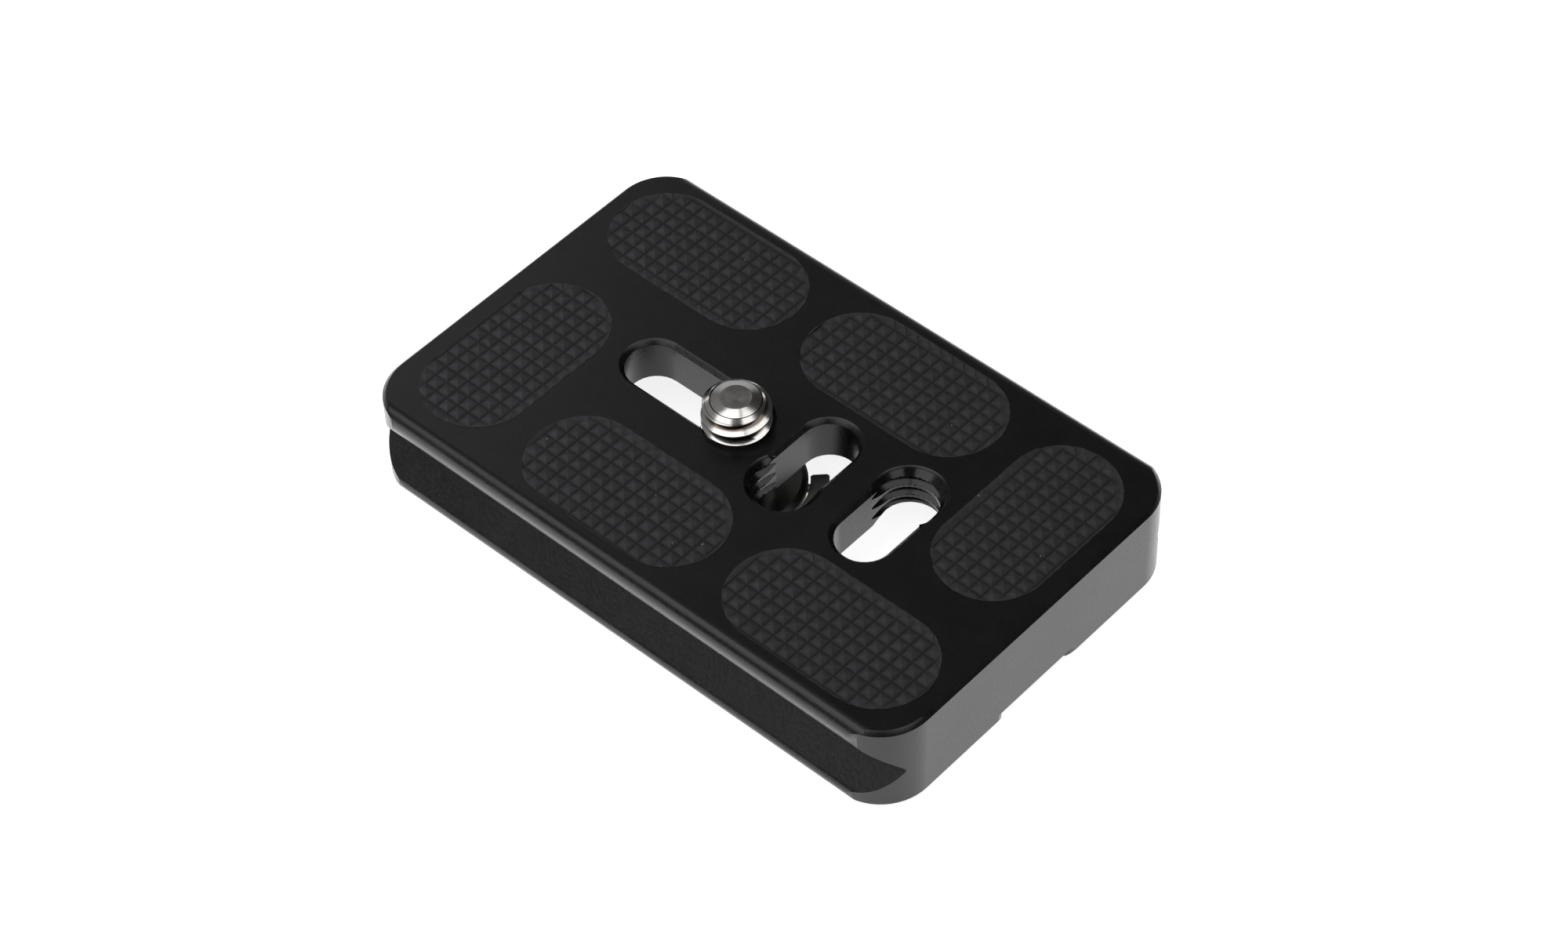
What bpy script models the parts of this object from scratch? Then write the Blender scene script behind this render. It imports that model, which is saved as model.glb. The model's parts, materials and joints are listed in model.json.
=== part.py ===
"""Quick release plate for a camera.

An aluminium plate with a round-nosed lip and a 45 degree clamp groove along each long side, six rubber
pads inlaid in its top, three slots, and a captive camera screw with a folding ring round its head.

Metres, +Z up. The origin is at the middle of the flat underside. +X runs along the plate, and the long
sides face -Y and +Y.
"""

import math

import bmesh
import bpy
from mathutils import Matrix

MM = 0.001

# Plate
PLATE_LENGTH = 60.0 * MM
PLATE_WIDTH = 38.4 * MM
PLATE_HEIGHT = 9.6 * MM
CORNER_RADIUS = 5.0 * MM
EDGE_CHAMFER = 0.4 * MM

# Side profile: the groove lies where two 45 degree faces tangent to these radii meet
LIP_TOP_RADIUS = 1.15 * MM
LIP_UNDER_RADIUS = 2.5 * MM
FOOT_RADIUS = 0.9 * MM
GROOVE_ROOT_RADIUS = 0.25 * MM

# Slots
WEB_THICKNESS = 4.35 * MM
SLOT_WIDTH = 5.2 * MM
SLOT_CHAMFER = 0.45 * MM
CROSS_SLOT_TRAVEL = 5.8 * MM
MIDDLE_SLOT_X = 4.5 * MM
CROSS_SLOT_PITCH = 9.0 * MM
LONG_SLOT_TO_CROSS_SLOT = 7.9 * MM

# Threaded entry holes, one at an end of each slot
THREAD_HOLE_RADIUS = 3.2 * MM
COUNTERSINK = 0.2 * MM

# Pads
PAD_THICKNESS = 1.1 * MM
PAD_GAP = 0.06 * MM
SIDE_PAD_MARGIN = 1.7 * MM
SIDE_PAD_TO_SLOT = 1.05 * MM
SIDE_PAD_END_MARGIN = 1.8 * MM
SIDE_PAD_SPACING = 2.45 * MM
END_PAD_MARGIN = 1.95 * MM
END_PAD_TO_RIGHT_SLOT = 1.2 * MM
END_PAD_TO_LONG_SLOT = 1.6 * MM
END_PAD_SIDE_MARGIN = 2.5 * MM
END_PAD_TO_SIDE_PAD = 4.3 * MM
SIDE_PAD_TO_END_PAD = 2.7 * MM

# Underside
POCKET_END_CLEARANCE = 0.6 * MM
POCKET_SIDE_CLEARANCE = 1.75 * MM
POCKET_CHAMFER = 0.3 * MM
CHANNEL_WIDTH = 7.8 * MM
CHANNEL_DEPTH = 1.1 * MM
CHANNEL_MOUTH_RADIUS = 1.2 * MM

# Camera screw
THREAD_RADIUS = 3.08 * MM
THREAD_LENGTH = 2.83 * MM
THREAD_REST_GAP = 0.03 * MM
TIP_FLAT_RADIUS = 1.36 * MM
TIP_CONE_RADIUS = 2.3 * MM
TIP_CONE_DROP = 0.3 * MM
THREAD_END_CHAMFER = 0.3 * MM
NECK_CLEARANCE = 0.4 * MM
SCREW_TO_SLOT_END = 0.16 * MM
SCREW_SIDE_PLAY = 0.22 * MM
HEAD_RADIUS = 6.0 * MM
HEAD_THICKNESS = 2.2 * MM
HEAD_CHAMFER = 0.54 * MM
HEAD_UNDER_CHAMFER = 0.3 * MM
HEAD_GROUND_GAP = 0.2 * MM
COIN_SLOT_WIDTH = 1.5 * MM
COIN_SLOT_DEPTH = 0.8 * MM

# Ring
RING_CLEARANCE = 0.17 * MM
RING_WIDTH = 1.66 * MM
RING_THICKNESS = 1.5 * MM
RING_GROUND_GAP = 0.6 * MM
RING_EDGE = 0.2 * MM
RING_OVERHANG = math.radians(8.5)
RING_PIVOT_TURN = math.radians(36)
STUD_RADIUS = 0.4 * MM
STUD_LENGTH = 1.2 * MM
STUD_RUNNING_GAP = 0.05 * MM

# How finely the curves are cut
CORNER_STEPS = 14
PROFILE_STEPS = 8
SLOT_END_STEPS = 16
TURNED_STEPS = 64
STUD_STEPS = 20
RING_STEPS = 50

# Cutters run this far past the faces that they go through
OVERRUN = 1.0 * MM
# The plan cutter stands this far outside the profile, so that the two cross and don't just touch
PLAN_EASE = 0.02 * MM

# Sizes that follow from those above
SLOT_RADIUS = SLOT_WIDTH / 2
WEB_UNDERSIDE = PLATE_HEIGHT - WEB_THICKNESS
RIGHT_SLOT_X = MIDDLE_SLOT_X + CROSS_SLOT_PITCH
END_PAD_INNER_X = RIGHT_SLOT_X + SLOT_RADIUS + SLOT_CHAMFER + END_PAD_TO_RIGHT_SLOT
END_PAD_WIDTH = PLATE_LENGTH / 2 - END_PAD_MARGIN - END_PAD_INNER_X
END_PAD_X = END_PAD_INNER_X + END_PAD_WIDTH / 2
LONG_SLOT_LEFT = -END_PAD_INNER_X + END_PAD_TO_LONG_SLOT + SLOT_CHAMFER + SLOT_RADIUS
LONG_SLOT_RIGHT = MIDDLE_SLOT_X - LONG_SLOT_TO_CROSS_SLOT
CROSS_SLOT_HALF = CROSS_SLOT_TRAVEL / 2 + SLOT_RADIUS + SLOT_CHAMFER
SIDE_PAD_WIDTH = PLATE_WIDTH / 2 - SIDE_PAD_MARGIN - SIDE_PAD_TO_SLOT - CROSS_SLOT_HALF
SIDE_PAD_LENGTH = (
    PLATE_LENGTH
    - SIDE_PAD_END_MARGIN
    - SIDE_PAD_SPACING
    - SIDE_PAD_TO_END_PAD
    - END_PAD_WIDTH
    - END_PAD_MARGIN
) / 2
SIDE_PAD_Y = PLATE_WIDTH / 2 - SIDE_PAD_MARGIN - SIDE_PAD_WIDTH / 2
END_PAD_LENGTH = (
    PLATE_WIDTH - END_PAD_SIDE_MARGIN - END_PAD_TO_SIDE_PAD - SIDE_PAD_WIDTH - SIDE_PAD_MARGIN
)
END_PAD_Y = PLATE_WIDTH / 2 - END_PAD_SIDE_MARGIN - END_PAD_LENGTH / 2
SCREW_X = LONG_SLOT_RIGHT + SCREW_TO_SLOT_END
SCREW_Y = -SCREW_SIDE_PLAY
NECK_RADIUS = SLOT_RADIUS - NECK_CLEARANCE
HEAD_TOP = HEAD_GROUND_GAP + HEAD_THICKNESS
THREAD_BOTTOM = PLATE_HEIGHT + THREAD_REST_GAP
THREAD_TOP = THREAD_BOTTOM + THREAD_LENGTH
RING_INNER = HEAD_RADIUS + RING_CLEARANCE
RING_OUTER = RING_INNER + RING_WIDTH
RING_LEVEL = RING_GROUND_GAP + RING_THICKNESS / 2
POCKET_LENGTH = 2 * (RING_OUTER + POCKET_END_CLEARANCE - LONG_SLOT_LEFT)
POCKET_WIDTH = 2 * (RING_OUTER + SCREW_SIDE_PLAY + POCKET_SIDE_CLEARANCE)


def clear_scene():
    for obj in list(bpy.data.objects):
        bpy.data.objects.remove(obj, do_unlink=True)


def material(name, colour, roughness, metallic):
    made = bpy.data.materials.new(name)
    made.use_nodes = True
    shader = made.node_tree.nodes["Principled BSDF"]
    shader.inputs["Base Color"].default_value = (*colour, 1.0)
    shader.inputs["Roughness"].default_value = roughness
    shader.inputs["Metallic"].default_value = metallic
    made.diffuse_color = (*colour, 1.0)
    return made


def anodised_aluminium():
    return material("black_anodised_aluminium", (0.02, 0.02, 0.021), 0.38, 0.6)


def black_rubber():
    return material("black_rubber", (0.03, 0.03, 0.03), 0.8, 0.0)


def bright_steel():
    return material("bright_steel", (0.62, 0.61, 0.59), 0.25, 1.0)


def arc(centre, radius, start, end, steps):
    """Points on an arc in a plane, both ends included. Angles are in degrees."""
    turn = [math.radians(start + (end - start) * i / steps) for i in range(steps + 1)]
    return [(centre[0] + radius * math.cos(a), centre[1] + radius * math.sin(a)) for a in turn]


def circle(radius, steps):
    return arc((0, 0), radius, 0, 360, steps)[:-1]


def stadium(length, width):
    """A slot's outline along X: straight sides and round ends."""
    radius = width / 2
    reach = length / 2 - radius
    right = arc((reach, 0), radius, -90, 90, SLOT_END_STEPS)
    left = arc((-reach, 0), radius, 90, 270, SLOT_END_STEPS)
    return right + left


def rounded_rectangle(length, width, radius):
    points = []
    for i, (side_x, side_y) in enumerate(((1, -1), (1, 1), (-1, 1), (-1, -1))):
        centre = (side_x * (length / 2 - radius), side_y * (width / 2 - radius))
        points += arc(centre, radius, 90 * (i - 1), 90 * i, CORNER_STEPS)
    return points


def new_object(name, bm, finish=None):
    bmesh.ops.recalc_face_normals(bm, faces=bm.faces)
    mesh = bpy.data.meshes.new(name)
    bm.to_mesh(mesh)
    bm.free()
    obj = bpy.data.objects.new(name, mesh)
    bpy.context.scene.collection.objects.link(obj)
    if finish:
        mesh.materials.append(finish)
    return obj


def skin(name, rings, finish=None):
    """A closed solid over rings of points, each ring with as many points as the next."""
    bm = bmesh.new()
    levels = [[bm.verts.new(point) for point in ring] for ring in rings]
    for lower, upper in zip(levels, levels[1:]):
        for i in range(len(lower)):
            j = (i + 1) % len(lower)
            bm.faces.new((lower[i], lower[j], upper[j], upper[i]))
    bm.faces.new(levels[0])
    bm.faces.new(levels[-1])
    return new_object(name, bm, finish)


def upright(outline, height):
    return [(x, y, height) for x, y in outline]


def turned(name, profile, finish=None):
    """A solid of revolution about Z. The profile's (radius, height) points run up from axis to axis."""
    bm = bmesh.new()
    bottom = bm.verts.new((0, 0, profile[0][1]))
    top = bm.verts.new((0, 0, profile[-1][1]))
    rings = []
    for radius, height in profile[1:-1]:
        rings.append([bm.verts.new(point) for point in upright(circle(radius, TURNED_STEPS), height)])
    for i in range(TURNED_STEPS):
        j = (i + 1) % TURNED_STEPS
        bm.faces.new((bottom, rings[0][j], rings[0][i]))
        for lower, upper in zip(rings, rings[1:]):
            bm.faces.new((lower[i], lower[j], upper[j], upper[i]))
        bm.faces.new((top, rings[-1][i], rings[-1][j]))
    return new_object(name, bm, finish)


def shade(obj, sharp_degrees=30):
    obj.data.shade_smooth()
    obj.data.set_sharp_from_angle(angle=math.radians(sharp_degrees))


def boolean(target, other, operation="DIFFERENCE"):
    other.hide_render = True
    other.display_type = "WIRE"
    modifier = target.modifiers.new(other.name, "BOOLEAN")
    modifier.operation = operation
    modifier.solver = "EXACT"
    modifier.object = other


def side_profile():
    """The plate's cross-section as (y, z) points: one side from the top down, then its mirror image."""
    edge = PLATE_WIDTH / 2
    lip_centre = PLATE_HEIGHT - LIP_TOP_RADIUS
    under = LIP_UNDER_RADIUS * (math.sqrt(2) - 1)
    foot_line = edge + FOOT_RADIUS * math.sqrt(2)
    root_z = (lip_centre - under + foot_line - edge) / 2
    root_centre = (foot_line - root_z + GROOVE_ROOT_RADIUS * math.sqrt(2), root_z)
    side = arc((edge - LIP_TOP_RADIUS, lip_centre), LIP_TOP_RADIUS, 90, 0, PROFILE_STEPS)
    side += arc((edge - LIP_UNDER_RADIUS, lip_centre), LIP_UNDER_RADIUS, 0, -45, PROFILE_STEPS)[1:]
    side += arc(root_centre, GROOVE_ROOT_RADIUS, 135, 225, PROFILE_STEPS // 2)
    side += arc((edge - FOOT_RADIUS, FOOT_RADIUS), FOOT_RADIUS, 45, -90, PROFILE_STEPS)
    return side + [(-y, z) for y, z in reversed(side)]


def plan_cutter():
    """The plate's outline seen from above, with its top and bottom edges chamfered all round."""
    spread = EDGE_CHAMFER + OVERRUN
    levels = (
        (-OVERRUN, spread),
        (EDGE_CHAMFER, 0),
        (PLATE_HEIGHT - EDGE_CHAMFER, 0),
        (PLATE_HEIGHT + OVERRUN, spread),
    )
    rings = []
    for height, inset in levels:
        length = PLATE_LENGTH - 2 * inset
        width = PLATE_WIDTH + 2 * PLAN_EASE - 2 * inset
        rings.append(upright(rounded_rectangle(length, width, CORNER_RADIUS - inset), height))
    return skin("plan_cutter", rings)


def slot_cutter(name, travel):
    """A slot through the web, along X, with its top edge chamfered."""
    levels = (
        (WEB_UNDERSIDE - OVERRUN, 0),
        (PLATE_HEIGHT - SLOT_CHAMFER, 0),
        (PLATE_HEIGHT + OVERRUN, SLOT_CHAMFER + OVERRUN),
    )
    rings = []
    for height, spread in levels:
        width = SLOT_WIDTH + 2 * spread
        rings.append(upright(stadium(travel + width, width), height))
    return skin(name, rings)


def entry_hole_cutter(name, x, y):
    """The bore of a threaded hole, with a countersink at the top."""
    cutter = turned(
        name,
        (
            (0, WEB_UNDERSIDE - OVERRUN),
            (THREAD_HOLE_RADIUS, WEB_UNDERSIDE - OVERRUN),
            (THREAD_HOLE_RADIUS, PLATE_HEIGHT - COUNTERSINK),
            (THREAD_HOLE_RADIUS + COUNTERSINK + OVERRUN, PLATE_HEIGHT + OVERRUN),
            (0, PLATE_HEIGHT + OVERRUN),
        ),
    )
    cutter.location = (x, y, 0)
    return cutter


def pocket_cutter():
    """The pocket under the web, where the screw's head and ring move, with its lower edge chamfered."""
    levels = (
        (-OVERRUN, POCKET_CHAMFER + OVERRUN),
        (POCKET_CHAMFER, 0),
        (WEB_UNDERSIDE, 0),
    )
    rings = []
    for height, spread in levels:
        outline = stadium(POCKET_LENGTH + 2 * spread, POCKET_WIDTH + 2 * spread)
        rings.append(upright(outline, height))
    return skin("pocket_cutter", rings)


def channel_cutter():
    """The shallow channel from end to end of the underside. Its mouths flare in a radius."""
    end = PLATE_LENGTH / 2
    half = CHANNEL_WIDTH / 2
    radius = CHANNEL_MOUTH_RADIUS
    mouth = arc((end - radius, half + radius), radius, -90, 0, PROFILE_STEPS)
    mouth.append((end + OVERRUN, half + radius))
    right = [(x, -y) for x, y in mouth] + mouth[::-1]
    outline = right + [(-x, -y) for x, y in right]
    return skin("channel_cutter", (upright(outline, -OVERRUN), upright(outline, CHANNEL_DEPTH)))


def pad_layout():
    """(name, x, y, turn, length, width) of each pad. The layout is the same turned half round."""
    first = PLATE_LENGTH / 2 - SIDE_PAD_END_MARGIN - SIDE_PAD_LENGTH / 2
    second = first - SIDE_PAD_LENGTH - SIDE_PAD_SPACING
    side = (0, SIDE_PAD_LENGTH, SIDE_PAD_WIDTH)
    end = (math.radians(90), END_PAD_LENGTH, END_PAD_WIDTH)
    return (
        ("pad_left_end", -END_PAD_X, -END_PAD_Y, *end),
        ("pad_right_end", END_PAD_X, END_PAD_Y, *end),
        ("pad_back_left", -first, SIDE_PAD_Y, *side),
        ("pad_back_right", -second, SIDE_PAD_Y, *side),
        ("pad_front_left", second, -SIDE_PAD_Y, *side),
        ("pad_front_right", first, -SIDE_PAD_Y, *side),
    )


def pads():
    """The inlaid rubber pads, flush with the plate's top. Returns the recesses that they sit in."""
    rubber = black_rubber()
    recesses = []
    for name, x, y, turn, length, width in pad_layout():
        place = Matrix.Translation((x, y, 0)) @ Matrix.Rotation(turn, 4, "Z")
        outline = stadium(length - 2 * PAD_GAP, width - 2 * PAD_GAP)
        levels = (PLATE_HEIGHT - PAD_THICKNESS, PLATE_HEIGHT)
        pad = skin(name, [upright(outline, height) for height in levels], rubber)
        shade(pad)
        pad.matrix_world = place
        outline = stadium(length, width)
        levels = (PLATE_HEIGHT - PAD_THICKNESS - PAD_GAP, PLATE_HEIGHT + OVERRUN)
        recess = skin(name.replace("pad", "recess"), [upright(outline, height) for height in levels])
        recess.matrix_world = place
        recesses.append(recess)
    return recesses


def slots():
    """The cutters of the three slots and of the threaded hole at an end of each."""
    long_slot = slot_cutter("long_slot", LONG_SLOT_RIGHT - LONG_SLOT_LEFT)
    long_slot.location.x = (LONG_SLOT_RIGHT + LONG_SLOT_LEFT) / 2
    cutters = [long_slot, entry_hole_cutter("long_slot_entry", LONG_SLOT_RIGHT, 0)]
    for name, x, side in (("middle_slot", MIDDLE_SLOT_X, -1), ("right_slot", RIGHT_SLOT_X, 1)):
        slot = slot_cutter(name, CROSS_SLOT_TRAVEL)
        slot.location.x = x
        slot.rotation_euler.z = math.radians(90)
        cutters += [slot, entry_hole_cutter(name + "_entry", x, side * CROSS_SLOT_TRAVEL / 2)]
    return cutters


def plate_body(cutters):
    """The side profile run along X, trimmed to the plan and then cut."""
    profile = side_profile()
    reach = PLATE_LENGTH / 2 + OVERRUN
    rings = [[(x, y, z) for y, z in profile] for x in (-reach, reach)]
    body = skin("plate_body", rings, anodised_aluminium())
    boolean(body, plan_cutter(), "INTERSECT")
    for cutter in cutters:
        boolean(body, cutter)
    shade(body)
    return body


def camera_screw(axis):
    """The screw on its axis: head, neck and threaded end, dropped until the thread meets the plate."""
    screw = turned(
        "camera_screw",
        (
            (0, HEAD_GROUND_GAP),
            (HEAD_RADIUS - HEAD_UNDER_CHAMFER, HEAD_GROUND_GAP),
            (HEAD_RADIUS, HEAD_GROUND_GAP + HEAD_UNDER_CHAMFER),
            (HEAD_RADIUS, HEAD_TOP - HEAD_CHAMFER),
            (HEAD_RADIUS - HEAD_CHAMFER, HEAD_TOP),
            (NECK_RADIUS, HEAD_TOP),
            (NECK_RADIUS, THREAD_BOTTOM),
            (THREAD_RADIUS - THREAD_END_CHAMFER, THREAD_BOTTOM),
            (THREAD_RADIUS, THREAD_BOTTOM + THREAD_END_CHAMFER),
            (THREAD_RADIUS, THREAD_TOP - TIP_CONE_DROP - (THREAD_RADIUS - TIP_CONE_RADIUS)),
            (TIP_CONE_RADIUS, THREAD_TOP - TIP_CONE_DROP),
            (TIP_FLAT_RADIUS, THREAD_TOP),
            (0, THREAD_TOP),
        ),
        bright_steel(),
    )
    coin_slot = bar("coin_slot", 2 * (HEAD_RADIUS + OVERRUN), COIN_SLOT_WIDTH, COIN_SLOT_DEPTH)
    coin_slot.rotation_euler.z = RING_PIVOT_TURN + math.radians(90)
    boolean(screw, coin_slot)
    stud_seats = []
    for side in (-1, 1):
        seat = stud(f"stud_seat_{side}", side, STUD_RADIUS + STUD_RUNNING_GAP, STUD_RUNNING_GAP)
        seat.rotation_euler.z = RING_PIVOT_TURN
        seat.location.z = RING_LEVEL
        boolean(screw, seat)
        stud_seats.append(seat)
    shade(screw)
    for piece in (screw, coin_slot, *stud_seats):
        piece.parent = axis
    return screw


def bar(name, length, width, depth):
    """A bar along X that cuts this deep into the underside of the screw's head."""
    low = HEAD_GROUND_GAP - OVERRUN
    outline = (
        (-length / 2, -width / 2),
        (length / 2, -width / 2),
        (length / 2, width / 2),
        (-length / 2, width / 2),
    )
    return skin(name, (upright(outline, low), upright(outline, HEAD_GROUND_GAP + depth)))


def stud(name, side, radius, end_gap):
    """A round stud along X, from the middle of the ring's section in towards the screw's axis."""
    far = RING_INNER + RING_WIDTH / 2
    near = RING_INNER - STUD_LENGTH - end_gap
    rings = [[(side * x, y, z) for y, z in circle(radius, STUD_STEPS)] for x in (far, near)]
    return skin(name, rings)


def ring_section():
    """The ring's section as (radius, z) points about its own level, with its edges broken."""
    half = RING_THICKNESS / 2
    corners = ((RING_INNER, -1, -1), (RING_OUTER, 1, -1), (RING_OUTER, 1, 1), (RING_INNER, -1, 1))
    points = []
    for radius, out, up in corners:
        along = (radius, up * (half - RING_EDGE))
        across = (radius - out * RING_EDGE, up * half)
        points += [across, along] if out * up < 0 else [along, across]
    return points


def d_ring(pivot):
    """The flat open ring round the screw's head. Local X is the axis that it folds about."""
    start = RING_OVERHANG
    end = -math.pi - RING_OVERHANG
    rings = []
    for i in range(RING_STEPS + 1):
        turn = start + (end - start) * i / RING_STEPS
        rings.append([(r * math.cos(turn), r * math.sin(turn), z) for r, z in ring_section()])
    ring = skin("d_ring", rings, bright_steel())
    ring.parent = pivot
    for side in (-1, 1):
        joined = stud(f"stud_{side}", side, STUD_RADIUS, 0)
        joined.parent = pivot
        boolean(ring, joined, "UNION")
    shade(ring)
    return ring


def empty(name, location, turn=0.0, parent=None):
    made = bpy.data.objects.new(name, None)
    bpy.context.scene.collection.objects.link(made)
    made.empty_display_size = PLATE_HEIGHT / 2
    made.location = location
    made.rotation_euler.z = turn
    made.parent = parent
    return made


def build():
    clear_scene()
    plate_body([pocket_cutter(), channel_cutter(), *pads(), *slots()])
    screw_axis = empty("screw_axis", (SCREW_X, SCREW_Y, 0))
    camera_screw(screw_axis)
    d_ring(empty("ring_pivot", (0, 0, RING_LEVEL), RING_PIVOT_TURN, screw_axis))


build()
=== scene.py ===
"""Looks of a camera quick release plate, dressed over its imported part.

Black anodised aluminium, rubber pads with moulded pyramids, a threaded steel screw and its ring,
on a white studio floor. Metres, +Z up, in the part's own frame.
"""

import json
import math

import bmesh
import bpy
import numpy as np
from mathutils import Matrix, Vector, noise

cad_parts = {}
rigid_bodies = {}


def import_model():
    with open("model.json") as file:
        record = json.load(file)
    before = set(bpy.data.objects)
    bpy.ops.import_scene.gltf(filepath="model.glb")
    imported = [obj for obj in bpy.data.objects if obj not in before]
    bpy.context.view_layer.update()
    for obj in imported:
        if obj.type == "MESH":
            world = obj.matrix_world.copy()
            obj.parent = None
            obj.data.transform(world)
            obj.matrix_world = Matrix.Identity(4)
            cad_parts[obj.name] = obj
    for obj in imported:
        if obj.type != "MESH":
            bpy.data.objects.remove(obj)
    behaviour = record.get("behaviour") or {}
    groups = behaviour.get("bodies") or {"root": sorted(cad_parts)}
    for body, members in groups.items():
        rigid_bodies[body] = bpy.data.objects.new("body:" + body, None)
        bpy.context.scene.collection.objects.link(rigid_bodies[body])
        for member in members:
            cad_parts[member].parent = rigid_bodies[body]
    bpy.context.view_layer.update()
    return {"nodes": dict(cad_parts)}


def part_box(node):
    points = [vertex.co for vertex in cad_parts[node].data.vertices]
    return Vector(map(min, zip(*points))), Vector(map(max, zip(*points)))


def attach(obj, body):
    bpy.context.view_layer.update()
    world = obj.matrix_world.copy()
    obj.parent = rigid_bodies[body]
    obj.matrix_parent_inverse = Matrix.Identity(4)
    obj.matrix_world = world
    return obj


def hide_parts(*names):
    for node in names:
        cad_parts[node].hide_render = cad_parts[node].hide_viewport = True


for old in list(bpy.data.objects):
    bpy.data.objects.remove(old, do_unlink=True)
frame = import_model()

MM = 0.001

# Photograph and the camera that took it
IMAGE_WIDTH, IMAGE_HEIGHT = 2000, 1200
FOCAL_PIXELS = 5291.0
CAMERA_AZIMUTH = math.radians(42.968)
CAMERA_ELEVATION = math.radians(48.118)
CAMERA_ROLL = math.radians(-1.657)
CAMERA_DISTANCE = 352.14 * MM
PLATE_TOP_CENTRE_PIXEL = (978.14, 556.78)
SENSOR_WIDTH = 36.0
CLIP_RANGE = (0.01, 10.0)

# Edges over these angles are sharp, in degrees
SHARP_EDGE = 35
SHARP_TURNED_EDGE = 12
SHARP_THREAD_EDGE = 25
SHARP_PLATE_EDGE = 28

# Plate
PLATE_HEIGHT = 9.6 * MM
WEB_UNDERSIDE = 5.25 * MM
EDGE_BREAK = 0.06 * MM
EDGE_BREAK_STEPS = 2
BROKEN_EDGE_ANGLE = math.radians(30)
ONE_FACE_ANGLE = math.radians(0.3)
MERGE_DISTANCE = 0.001 * MM

# Pads
PYRAMID_PITCH = 1.305 * MM
PYRAMID_HEIGHT = 0.24 * MM
PYRAMID_PROUD = 0.1 * MM
PYRAMID_TIP_WIDTH = 0.26 * MM
TIP_WEAR = 0.03 * MM
TIP_WEAR_SPREAD = 1.1 * MM
VALLEY_WIDTH = 0.06 * MM
VALLEY_SHOULDER = 0.05 * MM
RIM_SPACING = 0.12 * MM
RIM_RAGGEDNESS = 0.06 * MM
RIM_WAVES = (0.9 * MM, 0.3 * MM)
RIM_OVERLAP = 0.07 * MM
RIM_PROUD = 0.025 * MM
ROUND_END_STEPS = 40
# Where the first valley lies from each pad's middle, along X and Y
VALLEY_OFFSETS = {
    "pad_front_left": (0.70 * MM, 0.28 * MM),
    "pad_front_right": (0.85 * MM, 0.32 * MM),
    "pad_back_left": (0.33 * MM, 0.96 * MM),
    "pad_back_right": (0.38 * MM, 0.48 * MM),
    "pad_left_end": (0.31 * MM, 0.36 * MM),
    "pad_right_end": (0.91 * MM, 0.52 * MM),
}

# A quarter inch camera thread
THREAD_PITCH = 1.27 * MM
THREAD_MAJOR = 3.08 * MM
THREAD_MINOR = 2.38 * MM
THREAD_CREST = 0.11 * MM
THREAD_ROOT = 0.38 * MM
RUN_OUT_HEIGHT = 0.35 * MM
# Height of a crest's middle on the side that faces the camera
FRONT_CREST_HEIGHT = 10.74 * MM

# Screw: its tip has a turned flat, a cone, a small step and a chamfer
TIP_FLAT_RADIUS = 1.41 * MM
TIP_FLAT_EDGE = (0.03 * MM, 0.02 * MM, 0.012 * MM)
TIP_CONE_RADIUS = 2.2 * MM
TIP_CONE_DROP = 0.29 * MM
TIP_STEP_OUT = 0.05 * MM
TIP_STEP_DOWN = 0.05 * MM
TIP_CHAMFER_SLOPE = 0.95
TIP_CLEARANCE = 0.02 * MM
TURNING_MARK_SPACING = 0.17 * MM
TURNING_MARK_DEPTH = 0.005 * MM
TURNING_MARK_MARGIN = 0.1 * MM
TURNED_EDGE = 0.02 * MM
HEAD_THICKNESS = 2.2 * MM
HEAD_CHAMFER = 0.54 * MM
HEAD_UNDER_CHAMFER = 0.3 * MM
NECK_RADIUS = 2.2 * MM
NECK_FILLET = 0.25 * MM
NECK_FILLET_MIDDLE = 0.07 * MM
THREADED_LENGTH = 2.83 * MM
COIN_SLOT_WIDTH = 1.5 * MM
COIN_SLOT_DEPTH = 0.8 * MM
RING_PIVOT_TURN = math.radians(36)
STUD_RADIUS = 0.45 * MM
STUD_DEPTH = 1.25 * MM
STUD_LEVEL = 1.35 * MM
STUD_SEAT_SIDES = 32
TURNED_STEPS = 160

# Threaded entry holes
HOLE_CREST = 2.6 * MM
HOLE_ROOT = 3.2 * MM
HOLE_CREST_WIDTH = 0.3 * MM
HOLE_ROOT_WIDTH = 0.16 * MM
HOLE_CONE_TOP = 0.2 * MM
HOLE_LOWER_CONE_DROP = 0.1 * MM
HOLE_WALL_OVERLAP = 0.02 * MM
LINING_BACKING = 0.05 * MM
LINING_COLUMNS = 150
LINING_ROWS = 110
SLOT_HALF_WIDTH = 2.6 * MM
SLOT_CHAMFER = 0.45 * MM
FIRST_CREST_EDGE = 0.63 * MM
# Each hole's middle, and the way that its slot runs
ENTRY_HOLES = {
    "long_slot_thread": ((-3.4 * MM, 0.0), (-1, 0)),
    "middle_slot_thread": ((4.5 * MM, -2.9 * MM), (0, 1)),
    "right_slot_thread": ((13.5 * MM, 2.9 * MM), (0, -1)),
}

# Finishes, as linear colours
BLASTED_ROUGHNESS = (0.25, 0.29)
BLASTED_GRAIN_DEPTH = 0.022 * MM
CUT_ROUGHNESS = (0.14, 0.2)
CUT_GRAIN_DEPTH = 0.004 * MM
ANODISED_IOR = 1.4
ANODISED_COLOURS = ((0.0003, 0.0003, 0.0004), (0.0044, 0.0044, 0.0051))
ANODISED_DUST = (0.10, 0.098, 0.095)
TOP_FACE_GRAIN = 0.3
RUBBER_IOR = 1.34
RUBBER_ROUGHNESS = (0.6, 0.75)
RUBBER_GRAIN_DEPTH = 0.016 * MM
RUBBER_COLOURS = ((0.0092, 0.0092, 0.0101), (0.0176, 0.0176, 0.0195))
# Painted shade for the pads' valleys, where the rubber lies low between the pyramids
PAINTED_VALLEY_SHADE = (0.004, 0.004, 0.0045)
RUBBER_DUST = (0.2, 0.2, 0.195)
BRIGHT_STEEL = (0.63, 0.615, 0.59)
BRIGHT_ROUGHNESS = 0.17
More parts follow.
